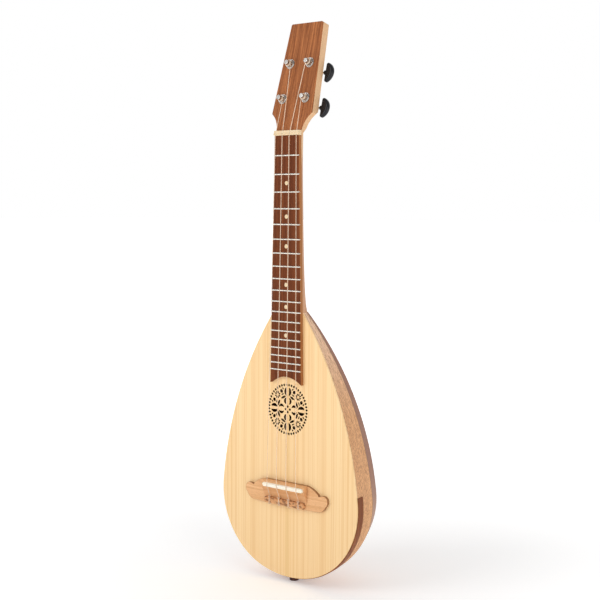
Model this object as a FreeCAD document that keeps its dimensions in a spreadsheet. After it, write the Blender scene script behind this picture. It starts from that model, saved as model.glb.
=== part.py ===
"""A tenor ukulele in the shape of a lute: a ribbed bowl body, a fretted neck and geared tuners.

Lengths are millimetres. The instrument stands upright: +Z runs up the neck, -Y is the way the
soundboard faces and +X is the right-hand side seen from the front. The origin is the outer tip
of the end pin. Bodies are drawn in the instrument's own frame, whose z is 0 at the front edge
of the nut and whose y is 0 on the face of the soundboard; each Placement then moves the
finished piece to the row frame.
"""

import FreeCAD, Part
import math
import os

import Sketcher
from FreeCAD import Placement, Rotation, Vector

PARTS_FOLDER = "parts"

# Driving dimensions. Heights are measured from the nut, downwards negative.
SIZES = {
    # reference points
    "nut_height": 556.0,
    "pin_depth": 14.0,
    # scale
    "scale_length": 432.0,
    "fret_count": 19,
    # longer than the instrument, for blanks and cuts that pass right through
    "ample": 2000.0,
    # bowl: three tangent arcs give the middle line of a rib
    "tail_height": -548.8,
    "tail_radius": 134.0,
    "tail_turn": 16.8,
    "hip_radius": 98.0,
    "hip_turn": 78.7,
    "shoulder_radius": 453.4,
    "joint_height": -216.0,
    "rib_count": 9,
    "rib_thickness": 1.8,
    "rib_blank_width": 80.0,
    "rib_blank_reach": 150.0,
    "board_thickness": 2.0,
    "board_overlap": 4.0,
    "board_half_blank": 130.0,
    "strip_width": 12.2,
    "strip_proud": 1.0,
    "strip_end_height": -433.0,
    # rose
    "rose_height": -337.3,
    "rose_recess_radius": 34.0,
    "rose_thickness": 1.1,
    # inside of the body
    "block_gap": 0.2,
    "neck_block_length": 34.0,
    "tail_block_radius": 28.0,
    "tail_block_top": -526.0,
    "brace_width": 5.0,
    "brace_depth": 9.0,
    "plate_thickness": 2.0,
    # neck and fingerboard
    "nut_half_width": 19.5,
    "heel_half_width": 23.4,
    "fingerboard_thickness": 4.5,
    "fingerboard_tip": -305.0,
    "fingerboard_arch_radius": 40.0,
    "slot_width": 0.6,
    "slot_depth": 1.8,
    "fret_width": 2.0,
    "fret_crown": 1.0,
    "dot_radius": 2.6,
    "dot_depth": 1.5,
    "nut_thickness": 6.0,
    "nut_front": 6.8,
    "nut_back": 5.6,
    "nut_groove": 6.1,
    # headstock
    "head_tilt": 14.4,
    "head_step": 1.1,
    "head_length": 138.0,
    "head_throat": 19.6,
    "head_shoulder": 31.8,
    "head_shoulder_rise": 22.2,
    "head_top": 25.0,
    "head_thickness": 12.0,
    "headplate_thickness": 1.6,
    "head_corner": 2.0,
    "head_chamfer": 3.0,
    # strings
    "nut_spacing": 11.2,
    "saddle_spacing": 15.8,
    "saddle_height": -434.0,
    "saddle_top": 11.5,
    # bridge
    "bridge_top": -428.0,
    "bridge_bottom": -458.4,
    "wing_thickness": 3.5,
    "bridge_block_half": 35.0,
    "bridge_block_rise": 8.8,
    "saddle_half": 33.2,
    "saddle_width": 5.4,
    "saddle_seat": 4.8,
    "tie_half": 32.6,
    "tie_top": 8.4,
    "tie_width": 8.6,
    "tie_setback": 0.7,
    "tie_hole_radius": 0.8,
    "tie_hole_height": 5.6,
    # end pin
    "pin_head_radius": 6.0,
    "pin_neck_radius": 4.2,
    "pin_shank_radius": 3.2,
    "pin_head_length": 4.5,
    "pin_shank_length": 18.0,
    # tuning machines
    "upper_post_across": 15.5,
    "upper_post_rise": 85.5,
    "lower_post_across": 18.3,
    "lower_post_rise": 40.6,
    "post_radius": 3.0,
    "post_proud": 9.4,
    "post_clearance": 0.06,
    "sleeve_radius": 4.0,
    "sleeve_depth": 9.0,
    "washer_radius": 6.2,
    "washer_thickness": 0.8,
    "hex_radius": 5.6,
    "hex_height": 2.6,
    "machine_plate_thickness": 1.0,
    "machine_plate_half": 6.5,
    "plate_screw_up": 10.0,
    "plate_screw_down": -15.5,
    "worm_drop": 8.0,
    "worm_depth": 5.0,
    "worm_core_radius": 1.75,
    "worm_thread_radius": 3.0,
    "worm_shaft_radius": 1.5,
    "gear_teeth": 14,
    "gear_pitch_radius": 5.6,
    "gear_addendum": 0.55,
    "gear_root_depth": 0.75,
    "gear_width": 3.6,
    "ear_offset": 5.9,
    "ear_thickness": 1.2,
    "ear_radius": 2.6,
    "screw_radius": 1.1,
    "screw_length": 8.0,
    "screw_head_radius": 2.1,
    "screw_head_height": 1.3,
    "worm_collar_radius": 2.4,
    "post_seat_radius": 2.3,
    "post_eye_height": 7.9,
    "post_eye_radius": 0.8,
    "wheel_screw_radius": 1.1,
    "wheel_screw_length": 5.0,
    "button_hub_length": 1.6,
    "button_hub_radius": 3.0,
    "button_socket": 8.0,
    "button_gap": 0.85,
    "button_length": 26.0,
    "button_reach": 11.2,
    "button_thickness": 6.4,
    "button_rounding": 2.4,
}

FRET_DOTS = (3, 5, 7, 10, 12, 15)
STRING_RADII = (0.36, 0.45, 0.5, 0.38)
BRACES = {"upper_brace": -296.0, "rose_brace": -380.0, "bridge_brace": -408.0, "tail_brace": -498.0}

os.makedirs(PARTS_FOLDER, exist_ok=True)
doc = FreeCAD.newDocument("lute_ukulele")
sheet = doc.addObject("Spreadsheet::Sheet", "Sizes")
for row, (alias, number) in enumerate(SIZES.items(), start=1):
    sheet.set(f"A{row}", alias)
    sheet.set(f"B{row}", str(number))
    sheet.setAlias(f"B{row}", alias)
doc.recompute()

kept = []


# ---------------------------------------------------------------- sizes and placements


def expand(text):
    """An expression with each spreadsheet alias written in full."""
    words = []
    word = ""
    for letter in str(text) + " ":
        if letter.isalnum() or letter in "_.":
            word += letter
            continue
        words.append(f"Sizes.{word}" if word in SIZES else word)
        words.append(letter)
        word = ""
    return "".join(words).strip()


def size(text):
    """The value of an expression of spreadsheet aliases."""
    return float(sheet.evalExpression(expand(text)))


def instrument_placement():
    """From the instrument's own frame to the row frame."""
    return Placement(Vector(0, -size("pin_depth"), size("nut_height")), Rotation())


def head_placement():
    """From the headstock's frame, x across, y behind its face and z along it, to the row frame."""
    face = Placement(
        Vector(0, -size("head_step"), size("nut_thickness")),
        Rotation(Vector(1, 0, 0), -size("head_tilt")),
    )
    return instrument_placement().multiply(face)


def rib_placement(turn):
    """From a rib's frame, x outwards, y round the bowl and z along it, to the row frame."""
    axis = Placement(Vector(0, size("board_thickness"), 0), Rotation(Vector(0, 0, 1), turn))
    return instrument_placement().multiply(axis)


def machine_placement(side, level):
    """From a tuning machine's frame, centred on its post at the headstock's back, to the row frame."""
    spot = Vector(
        side * size(f"{level}_post_across"),
        size("head_thickness"),
        size(f"{level}_post_rise"),
    )
    return head_placement().multiply(Placement(spot, Rotation()))


# ---------------------------------------------------------------- sketches and features


def new_body(label, placement):
    body = doc.addObject("PartDesign::Body", label)
    body.Label = label
    body.Placement = placement
    return body


def keep(thing, label):
    """Marks a finished piece for writing under its own name."""
    thing.Label = label
    kept.append(thing)
    return thing


def sketch_on(body, role, offset=None):
    """A sketch on one of the body's own origin planes, shifted along the plane's normal."""
    sketch = body.newObject("Sketcher::SketchObject", f"{body.Name}_sketch")
    plane = next(item for item in body.Origin.OriginFeatures if item.Role == role)
    sketch.AttachmentSupport = [(plane, "")]
    sketch.MapMode = "FlatFace"
    if offset is not None:
        sketch.setExpression("AttachmentOffset.Base.z", expand(offset))
    return sketch


def bind(sketch, kind, where, expression):
    """Adds a dimension to a sketch and ties it to the sheet."""
    turn = kind == "Angle"
    number = math.radians(size(expression)) if turn else size(expression)
    index = sketch.addConstraint(Sketcher.Constraint(kind, *where, number))
    unit = " * 1 deg" if turn else ""
    sketch.setExpression(f"Constraints[{index}]", f"({expand(expression)}){unit}")


def pin_point(sketch, geometry, point, across, up):
    """Fixes a sketch point at two expressions from the sketch origin."""
    bind(sketch, "DistanceX", (-1, 1, geometry, point), across)
    bind(sketch, "DistanceY", (-1, 1, geometry, point), up)


def arc_between(start, end, radius):
    """The short arc between two points that bulges to the right of the way from start to end."""
    half = (end - start) * 0.5
    rise = math.sqrt(max(radius * radius - half.Length**2, 0.0))
    left = Vector(-half.y, half.x, 0).normalize()
    centre = start + half + left * (rise if radius > 0 else -rise)
    first = math.atan2(start.y - centre.y, start.x - centre.x)
    last = math.atan2(end.y - centre.y, end.x - centre.x)
    circle = Part.Circle(centre, Vector(0, 0, 1), abs(radius))
    if radius > 0:
        return Part.ArcOfCircle(circle, first, last), 1, 2
    return Part.ArcOfCircle(circle, last, first), 2, 1


def outline(sketch, corners):
    """A closed outline. A corner is (across, up) or (across, up, radius), where radius belongs to the
    arc that leads to the next corner, positive where it bulges to the right of the way there."""
    spots = [Vector(size(corner[0]), size(corner[1]), 0) for corner in corners]
    ends = []
    for index, corner in enumerate(corners):
        start, end = spots[index], spots[(index + 1) % len(spots)]
        if len(corner) == 2:
            edge = sketch.addGeometry(Part.LineSegment(start, end), False)
            ends.append((edge, 1, 2))
            continue
        arc, first, last = arc_between(start, end, size(corner[2]))
        ends.append((sketch.addGeometry(arc, False), first, last))
    for index, corner in enumerate(corners):
        edge, first, last = ends[index]
        following = ends[(index + 1) % len(ends)]
        sketch.addConstraint(Sketcher.Constraint("Coincident", edge, last, following[0], following[1]))
        pin_point(sketch, edge, first, corner[0], corner[1])
        if len(corner) == 3:
            bind(sketch, "Radius", (edge,), f"abs({corner[2]})")


def box_outline(sketch, left, bottom, right, top):
    outline(sketch, [(left, bottom), (right, bottom), (right, top), (left, top)])


def circle(sketch, across, up, radius):
    spot = Vector(size(across), size(up), 0)
    edge = sketch.addGeometry(Part.Circle(spot, Vector(0, 0, 1), size(radius)), False)
    pin_point(sketch, edge, 3, across, up)
    bind(sketch, "Radius", (edge,), radius)


def pad(body, sketch, length, reverse=False, both_ways=False):
    feature = body.newObject("PartDesign::Pad", "Pad")
    feature.Profile = sketch
    feature.setExpression("Length", expand(length))
    feature.Reversed = reverse
    feature.Midplane = both_ways
    return feature


def pocket(body, sketch, length, reverse=False, both_ways=False):
    feature = body.newObject("PartDesign::Pocket", "Pocket")
    feature.Profile = sketch
    feature.setExpression("Length", expand(length))
    feature.Reversed = reverse
    feature.Midplane = both_ways
    return feature


def revolve(body, sketch, axis, angle=360):
    """Turns a sketch about the sketch's own V_Axis or H_Axis."""
    feature = body.newObject("PartDesign::Revolution", "Revolution")
    feature.Profile = sketch
    feature.ReferenceAxis = (sketch, [axis])
    feature.Angle = angle
    return feature


def edges_where(feature, test):
    """The names of a feature's edges whose middle point passes the test."""
    doc.recompute()
    names = []
    for number, edge in enumerate(feature.Shape.Edges, start=1):
        middle = edge.valueAt((edge.FirstParameter + edge.LastParameter) / 2)
        if test(middle, edge):
            names.append(f"Edge{number}")
    return names


def round_edges(body, feature, radius, test, kind="Fillet"):
    """Fillets or chamfers the edges of a feature that pass the test."""
    rounding = body.newObject(f"PartDesign::{kind}", kind)
    rounding.Base = (feature, edges_where(feature, test))
    rounding.setExpression("Radius" if kind == "Fillet" else "Size", expand(radius))
    return rounding


def boolean(kind, label, base, tool):
    feature = doc.addObject(f"Part::{kind}", label)
    feature.Base = base
    feature.Tool = tool
    return feature


def block(label, placement, low, high):
    """A box between two corners given as expressions, in a frame of its own."""
    box = doc.addObject("Part::Box", label)
    for name, near, far in zip(("Length", "Width", "Height"), low, high):
        box.setExpression(name, expand(f"({far}) - ({near})"))
    corner = Vector(*[size(value) for value in low])
    box.Placement = placement.multiply(Placement(corner, Rotation()))
    return box


def rod(label, placement, start, direction, radius, length):
    """A cylinder from a point along a direction."""
    cylinder = doc.addObject("Part::Cylinder", label)
    cylinder.setExpression("Radius", expand(radius))
    cylinder.setExpression("Height", expand(length))
    turn = Rotation(Vector(0, 0, 1), direction)
    cylinder.Placement = placement.multiply(Placement(start, turn))
    return cylinder


def group(label, members, kind="Compound"):
    """Several separate solids as one piece."""
    feature = doc.addObject(f"Part::{kind}", label)
    if kind == "Compound":
        feature.Links = members
    else:
        feature.Shapes = members
    return feature


# ---------------------------------------------------------------- bowl and soundboard


def rib_chain(offset, top):
    """Centre, radius, first and last angle of each arc of a rib's middle line, moved outwards."""
    radii = [size("tail_radius"), size("hip_radius"), size("shoulder_radius")]
    turns = [math.radians(size("tail_turn")), math.radians(size("hip_turn"))]
    centre = Vector(0, size("tail_height") + radii[0], 0)
    heading = 0.0
    arcs = []
    for index, radius in enumerate(radii):
        if index < 2:
            following = heading + turns[index]
        else:
            following = math.pi / 2 + math.asin((top - centre.y) / (radius + offset))
        arcs.append((centre, radius + offset, heading - math.pi / 2, following - math.pi / 2))
        if index < 2:
            outward = Vector(math.sin(following), -math.cos(following), 0)
            centre = centre + outward * (radius - radii[index + 1])
        heading = following
    return arcs


def cut_chain(arcs, top):
    """The same arcs, stopped at a height that lies on an earlier arc."""
    kept_arcs = []
    for centre, radius, first, last in arcs:
        rise = (top - centre.y) / radius
        if centre.y + radius * math.sin(last) < top - 1e-6:
            kept_arcs.append((centre, radius, first, last))
            continue
        kept_arcs.append((centre, radius, first, math.asin(rise)))
        break
    return kept_arcs


def draw_chain(sketch, offset, top):
    """Draws a rib's middle line moved outwards by an offset, and returns its first and last edges."""
    names = ("tail_radius", "hip_radius", "shoulder_radius")
    turns = ("tail_turn", "hip_turn")
    arcs = cut_chain(rib_chain(size(offset), size(top)), size(top))
    edges = []
    for number, (centre, radius, first, last) in enumerate(arcs):
        ring = Part.Circle(centre, Vector(0, 0, 1), radius)
        edge = sketch.addGeometry(Part.ArcOfCircle(ring, first, last), False)
        bind(sketch, "Radius", (edge,), f"{names[number]} + ({offset})")
        if edges:
            sketch.addConstraint(Sketcher.Constraint("Tangent", edges[-1], 2, edge, 1))
        if number < len(arcs) - 1:
            bind(sketch, "Angle", (edge,), turns[number])
        edges.append(edge)
    pin_point(sketch, edges[0], 1, "0", f"tail_height - ({offset})")
    bind(sketch, "DistanceX", (-1, 1, edges[0], 3), "0")
    bind(sketch, "DistanceY", (-1, 1, edges[-1], 2), top)
    return edges[0], edges[-1]


def join_ends(sketch, start, end):
    """A line between two sketch points, each given as (edge, point)."""
    edges = sketch.Geometry
    spots = []
    for edge, point in (start, end):
        spots.append(edges[edge].StartPoint if point == 1 else edges[edge].EndPoint)
    line = sketch.addGeometry(Part.LineSegment(*spots), False)
    sketch.addConstraint(Sketcher.Constraint("Coincident", line, 1, *start))
    sketch.addConstraint(Sketcher.Constraint("Coincident", line, 2, *end))


def draw_band(sketch, outer, inner, top):
    """A strip between two copies of a rib's middle line."""
    first_outer, last_outer = draw_chain(sketch, outer, top)
    first_inner, last_inner = draw_chain(sketch, inner, top)
    join_ends(sketch, (first_outer, 1), (first_inner, 1))
    join_ends(sketch, (last_outer, 2), (last_inner, 2))


def rib_turn(number):
    return 180 / size("rib_count") * (number - 0.5)


def make_rib(number):
    """One stave of the bowl: flat across, curved along, and narrowing to both ends."""
    turn = rib_turn(number)
    body = new_body(f"rib_{number}", rib_placement(turn))
    band = sketch_on(body, "XZ_Plane")
    draw_band(band, "0", "-rib_thickness", "joint_height")
    pad(body, band, "rib_blank_width", both_ways=True)
    wedge = sketch_on(body, "XY_Plane")
    far = "rib_blank_reach"
    flank = f"{far} * tan(90 / rib_count)"
    outline(
        wedge,
        [
            ("0", "0"),
            (far, flank),
            (far, "rib_blank_width"),
            ("-5", "rib_blank_width"),
            ("-5", "-rib_blank_width"),
            (far, "-rib_blank_width"),
            (far, f"-{flank}"),
        ],
    )
    pocket(body, wedge, "ample", both_ways=True)
    if abs(turn - 90) < 25:
        hole = sketch_on(body, "XY_Plane")
        reach = "(pin_depth - board_thickness)"
        circle(hole, f"{reach} * cos({90 - turn})", f"{reach} * sin({90 - turn})", "pin_shank_radius")
        pocket(body, hole, "ample", both_ways=True)
    if abs(turn - 90) < 1:
        tip = sketch_on(body, "XY_Plane")
        box_outline(tip, "-5", "-5", "pin_depth - board_thickness", "5")
        pocket(body, tip, "ample", both_ways=True)
    return keep(body, f"rib_{number}")


def make_board_blank(label, turn):
    """Half of the soundboard's outline, drawn square to the rib that it meets."""
    body = new_body(label, rib_placement(turn))
    sketch = sketch_on(body, "XZ_Plane")
    first, last = draw_chain(sketch, "0", "joint_height")
    lower = Vector(-size("board_overlap"), size("tail_height"), 0)
    upper = Vector(-size("board_overlap"), size("joint_height"), 0)
    seam = sketch.addGeometry(Part.LineSegment(lower, upper), False)
    pin_point(sketch, seam, 1, "-board_overlap", "tail_height")
    pin_point(sketch, seam, 2, "-board_overlap", "joint_height")
    join_ends(sketch, (seam, 1), (first, 1))
    join_ends(sketch, (seam, 2), (last, 2))
    pad(body, sketch, "rib_blank_width", both_ways=True)
    return body


def lens(start, end, right, left):
    """A hole between two arcs that share their ends and bulge by two amounts to the right."""
    way = end - start
    across = Vector(way.z, 0, -way.x).normalize()
    middle = (start + end) * 0.5
    edges = [
        Part.Arc(start, middle + across * right, end).toShape(),
        Part.Arc(end, middle + across * left, start).toShape(),
    ]
    return Part.Face(Part.Wire(edges)).extrude(Vector(0, 4, 0))


def spot(across, up):
    return Vector(across, -1, up)


def polar(turn, reach):
    """A point at an angle in degrees, clockwise from straight up."""
    return spot(reach * math.sin(math.radians(turn)), reach * math.cos(math.radians(turn)))


def rose_eighth():
    """The holes between the upright arm of the rose and its diagonal, inside the outer ring."""
    holes = [
        lens(spot(1.9, 14.3), spot(1.9, 6.3), -4.3, -1.1),
        lens(spot(2.0, 27.4), spot(1.3, 16.6), -4.1, -0.2),
        lens(spot(3.2, 16.5), spot(11.2, 12.7), 1.5, -1.5),
        lens(spot(6.2, 19.4), spot(10.7, 16.9), 0.9, -0.9),
        lens(spot(8.3, 20.4), spot(12.4, 23.6), 2.1, -2.1),
        lens(spot(6.7, 24.4), spot(9.3, 26.4), 0.95, -0.95),
    ]
    heart = spot(16.9, 16.9)
    for turn in (22.5, -22.5, -67.5, -112.5):
        inner = heart + (polar(turn, 1.7) - spot(0, 0))
        outer = heart + (polar(turn, 4.8) - spot(0, 0))
        holes.append(lens(inner, outer, 1.0, -1.0))
    return holes


def rose_ring():
    """The outer ring of the rose: one hole after another, each longer towards the rim."""
    count = 48
    holes = []
    for number in range(count):
        turn = (number + 0.5) * 360 / count
        holes.append(lens(polar(turn, 28.8), polar(turn, 32.3), 1.35, -1.35))
    return holes


def make_rose_cutter():
    """Every hole of the rose: the outer ring, and one eighth mirrored and turned about the centre."""
    holes = rose_ring()
    for hole in rose_eighth():
        mirrored = hole.mirror(Vector(0, 0, 0), Vector(1, 0, 0))
        for half in (hole, mirrored):
            for quarter in range(4):
                turned = half.copy()
                turned.rotate(Vector(0, 0, 0), Vector(0, 1, 0), 90 * quarter)
                holes.append(turned)
    for quarter in range(4):
        petal = lens(spot(0, 1.6), spot(0, 5.3), 1.4, -1.4)
        petal.rotate(Vector(0, 0, 0), Vector(0, 1, 0), 90 * quarter)
        holes.append(petal)
    cutter = doc.addObject("Part::Feature", "rose_cutter")
    cutter.Shape = Part.makeCompound(holes)
    centre = Placement(Vector(0, 0, size("rose_height")), Rotation())
    cutter.Placement = instrument_placement().multiply(centre)
    return cutter


def make_soundboard():
    """The two bookmatched halves of the front, thinned behind the rose that is cut through them."""
    cutter = make_rose_cutter()
    for side, name in ((1, "right"), (-1, "left")):
        turn = rib_turn(1) if side > 0 else 180 - rib_turn(1)
        blank = make_board_blank(f"soundboard_{name}_blank", turn)
        low, high = ("0", "board_half_blank") if side > 0 else ("-board_half_blank", "0")
        slab = block(
            f"soundboard_{name}_slab",
            instrument_placement(),
            (low, "0", "tail_height - 5"),
            (high, "board_thickness", "joint_height"),
        )
        half = boolean("Common", f"soundboard_{name}_half", blank, slab)
        recess = rod(
            f"rose_recess_{name}",
            instrument_placement(),
            Vector(0, size("rose_thickness"), size("rose_height")),
            Vector(0, 1, 0),
            "rose_recess_radius",
            "board_thickness",
        )
        thinned = boolean("Cut", f"soundboard_{name}_thinned", half, recess)
        keep(boolean("Cut", f"soundboard_{name}", thinned, cutter), f"soundboard_{name}")


def make_capping_strip(ribs):
    """The dark band that covers the lower ends of the ribs, just behind the soundboard."""
    halves = []
    for side in (1, -1):
        turn = rib_turn(1) if side > 0 else 180 - rib_turn(1)
        body = new_body(f"strip_blank_{len(halves) + 1}", rib_placement(turn))
        band = sketch_on(body, "XZ_Plane")
        draw_band(band, "strip_proud", "-rib_thickness / 2", "strip_end_height")
        pad(body, band, "rib_blank_width", both_ways=True)
        low, high = ("0", "board_half_blank") if side > 0 else ("-board_half_blank", "0")
        zone = block(
            f"strip_zone_{len(halves) + 1}",
            instrument_placement(),
            (low, "board_thickness", "tail_height - 5"),
            (high, "board_thickness + strip_width", "strip_end_height + 5"),
        )
        halves.append(boolean("Common", f"strip_half_{len(halves) + 1}", body, zone))
    whole = group("strip_whole", halves, "MultiFuse")
    bowl = group("bowl", ribs)
    trimmed = boolean("Cut", "strip_trimmed", whole, bowl)
    notch = rod(
        "strip_notch",
        instrument_placement(),
        Vector(0, size("pin_depth"), size("tail_height") - 20),
        Vector(0, 0, 1),
        "pin_neck_radius",
        "40",
    )
    keep(boolean("Cut", "capping_strip", trimmed, notch), "capping_strip")


def make_neck_block():
    """The block inside the bowl that the neck is glued to."""
    body = new_body("neck_block", rib_placement(0))
    sketch = sketch_on(body, "XZ_Plane")
    gap = "rib_thickness + block_gap"
    centre, radius, _, last = rib_chain(-size(gap), size("joint_height"))[-1]
    bottom = size("joint_height - neck_block_length")
    first = math.asin((bottom - centre.y) / radius)
    ring = Part.Circle(centre, Vector(0, 0, 1), radius)
    curve = sketch.addGeometry(Part.ArcOfCircle(ring, first, last), False)
    bind(sketch, "Radius", (curve,), f"shoulder_radius - ({gap})")
    pin_point(sketch, curve, 3, str(centre.x), str(centre.y))
    bind(sketch, "DistanceY", (-1, 1, curve, 1), "joint_height - neck_block_length")
    bind(sketch, "DistanceY", (-1, 1, curve, 2), "joint_height")
    ends = Vector(0, bottom, 0), Vector(0, size("joint_height"), 0)
    axis = sketch.addGeometry(Part.LineSegment(*ends), False)
    pin_point(sketch, axis, 1, "0", "joint_height - neck_block_length")
    pin_point(sketch, axis, 2, "0", "joint_height")
    join_ends(sketch, (axis, 1), (curve, 1))
    join_ends(sketch, (axis, 2), (curve, 2))
    revolve(body, sketch, "V_Axis", 180)
    keep(body, "neck_block")


def make_tail_block():
    """The block inside the bowl that the end pin is pushed into."""
    body = new_body("tail_block", rib_placement(0))
    sketch = sketch_on(body, "XZ_Plane")
    gap = "rib_thickness + block_gap"
    radius = size(f"tail_radius - ({gap})")
    reach = size("tail_block_radius")
    rim = size("tail_height + tail_radius") - math.sqrt(radius**2 - reach**2)
    outline(
        sketch,
        [
            ("0", f"tail_height + {gap}", f"tail_radius - ({gap})"),
            ("tail_block_radius", str(rim)),
            ("tail_block_radius", "tail_block_top"),
            ("0", "tail_block_top"),
        ],
    )
    revolve(body, sketch, "V_Axis", 180)
    hole = sketch_on(body, "XY_Plane")
    circle(hole, "0", "pin_depth - board_thickness", "pin_shank_radius")
    pocket(body, hole, "ample", both_ways=True)
    keep(body, "tail_block")


def board_half_width(height):
    """Half the soundboard's width between the ribs' inner faces at a height."""
    for centre, radius, first, last in rib_chain(-size("rib_thickness"), size("joint_height")):
        rise = (height - centre.y) / radius
        if abs(rise) < 1 and first <= math.asin(rise) <= last:
            middle = centre.x + radius * math.cos(math.asin(rise))
            return middle / math.cos(math.radians(rib_turn(1)))
    raise ValueError(f"no rib at height {height}")


def make_braces():
    """Bars glued across the back of the soundboard, and the thin plate behind the bridge."""
    for label, height in BRACES.items():
        half = min(board_half_width(height - 3), board_half_width(height + 3)) - size("brace_depth")
        body = new_body(label, instrument_placement())
        sketch = sketch_on(body, "XZ_Plane", "-board_thickness")
        edge = "brace_width / 2"
        box_outline(sketch, str(-half), f"{height} - {edge}", str(half), f"{height} + {edge}")
        bar = pad(body, sketch, "brace_depth", reverse=True)
        lower = size("board_thickness + brace_depth")
        round_edges(body, bar, "brace_width / 3", lambda spot, edge: spot.y > lower - 0.1, "Chamfer")
        keep(body, label)
    body = new_body("bridge_plate", instrument_placement())
    sketch = sketch_on(body, "XZ_Plane", "-board_thickness")
    box_outline(sketch, "-40", "bridge_bottom - 4", "40", "bridge_top + 4")
    pad(body, sketch, "plate_thickness", reverse=True)
    keep(body, "bridge_plate")


# ---------------------------------------------------------------- neck and headstock


def board_half(height):
    """Half the fingerboard's width at a height, as an expression."""
    return f"nut_half_width + (heel_half_width - nut_half_width) * ({height}) / joint_height"


def make_neck_blank():
    """The neck's rounded back, lofted through arcs of changing depth."""
    body = new_body("neck_blank", instrument_placement())
    sections = [
        ("joint_height", board_half("joint_height"), "23.6"),
        ("-190", board_half("-190"), "19.3"),
        ("-150", board_half("-150"), "16.9"),
        ("-95", board_half("-95"), "15.4"),
        ("-50", board_half("-50"), "14.6"),
        ("-8", board_half("-8"), "15.4"),
        ("nut_thickness + 4", "19.4", "15.6"),
        ("nut_thickness + 18", "17", "15"),
    ]
    sketches = []
    for height, half, depth in sections:
        sketch = sketch_on(body, "XY_Plane", height)
        radius = f"(({half})^2 + ({depth})^2) / (2 * ({depth}))"
        wide, deep = size(half), size(depth)
        back = Part.Arc(Vector(wide, 0, 0), Vector(0, deep, 0), Vector(-wide, 0, 0))
        arc = sketch.addGeometry(back, False)
        pin_point(sketch, arc, 1, half, "0")
        pin_point(sketch, arc, 2, f"-({half})", "0")
        bind(sketch, "Radius", (arc,), radius)
        join_ends(sketch, (arc, 2), (arc, 1))
        sketches.append(sketch)
    loft = body.newObject("PartDesign::AdditiveLoft", "Loft")
    loft.Profile = sketches[0]
    loft.Sections = sketches[1:]
    return body


def head_outline(sketch, foot):
    """The headstock's outline: hollow shoulders, then a straight taper to a flat top."""
    outline(
        sketch,
        [
            ("-head_throat", foot),
            ("head_throat", foot),
            ("head_throat", "0.5", "-30"),
            ("head_shoulder", "head_shoulder_rise"),
            ("head_top", "head_length"),
            ("-head_top", "head_length"),
            ("-head_shoulder", "head_shoulder_rise", "-30"),
            ("-head_throat", "0.5"),
        ],
    )


def round_head_corners(body, feature):
    """Softens the two upper corners of a headstock layer."""
    top = size("head_length")
    half = size("head_top")

    def at_corner(middle, edge):
        return abs(middle.z - top) < 0.01 and abs(middle.x) > half - 0.01

    return round_edges(body, feature, "head_corner", at_corner)


def bevel_shoulders(body, feature):
    """Bevels the back edges of the headstock's hollow shoulders."""
    back = size("head_thickness")
    throat, shoulder = size("head_throat"), size("head_shoulder")

    def on_shoulder(middle, edge):
        beside = throat + 0.5 < abs(middle.x) < shoulder - 0.5
        return beside and abs(middle.y - back) < 0.01 and middle.z < size("head_shoulder_rise")

    return round_edges(body, feature, "head_chamfer", on_shoulder, "Chamfer")


def bore_post_holes(body):
    """Four holes through a headstock layer for the sleeves of the tuning machines."""
    sketch = sketch_on(body, "XZ_Plane")
    for level in ("upper", "lower"):
        for side in ("", "-"):
            circle(sketch, f"{side}{level}_post_across", f"{level}_post_rise", "sleeve_radius")
    pocket(body, sketch, "ample", both_ways=True)


def bore_screw_holes(body):
    """Pilot holes in the headstock's back for the screws of the machine plates."""
    sketch = sketch_on(body, "XZ_Plane", "-head_thickness - 1")
    for level in ("upper", "lower"):
        for side in ("", "-"):
            for end in ("plate_screw_up", "plate_screw_down"):
                rise = f"{level}_post_rise + {end}"
                circle(sketch, f"{side}{level}_post_across", rise, "screw_radius")
    pocket(body, sketch, "screw_length - machine_plate_thickness + 1.2", reverse=True)


def make_neck_and_headstock():
    """The neck, and the headstock glued to it along a slanting scarf in the plane of its back."""
    blank = make_neck_blank()
    slab = new_body("head_slab", head_placement())
    plan = sketch_on(slab, "XZ_Plane", "-headplate_thickness")
    head_outline(plan, "-6")
    core = pad(slab, plan, "head_thickness - headplate_thickness", reverse=True)
    rounded = round_head_corners(slab, core)
    bevel_shoulders(slab, rounded)
    ramp = sketch_on(slab, "YZ_Plane")
    outline(
        ramp,
        [
            ("2.2", "-6.5"),
            ("head_thickness + 3", "-6.5"),
            ("head_thickness + 3", "20"),
            ("head_thickness", "20", "-40.7"),
        ],
    )
    pocket(slab, ramp, "ample", both_ways=True)
    bore_post_holes(slab)
    bore_screw_holes(slab)
    scarf = block(
        "scarf_zone", head_placement(), ("-60", "-60", "-80"), ("60", "head_thickness", "60")
    )
    face = block(
        "face_zone", head_placement(), ("-60", "-30", "0.41"), ("60", "headplate_thickness", "60")
    )
    seat = block("nut_zone", instrument_placement(), ("-60", "-20", "-60"), ("60", "0", "nut_thickness"))
    keep(boolean("Cut", "neck", blank, scarf), "neck")
    root = boolean("Common", "head_root", blank, scarf)
    whole = group("head_whole", [slab, root], "MultiFuse")
    faced = boolean("Cut", "head_faced", whole, face)
    keep(boolean("Cut", "headstock", faced, seat), "headstock")


def make_headplate():
    """The dark veneer on the front of the headstock."""
    body = new_body("headplate", head_placement())
    plan = sketch_on(body, "XZ_Plane")
    head_outline(plan, "0.45")
    veneer = pad(body, plan, "headplate_thickness", reverse=True)
    round_head_corners(body, veneer)
    bore_post_holes(body)
    keep(body, "headplate")


def fret_height(number):
    """The distance of a fret below the nut, as a negative height."""
    return -size("scale_length") * (1 - 2 ** (-number / 12))


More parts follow.
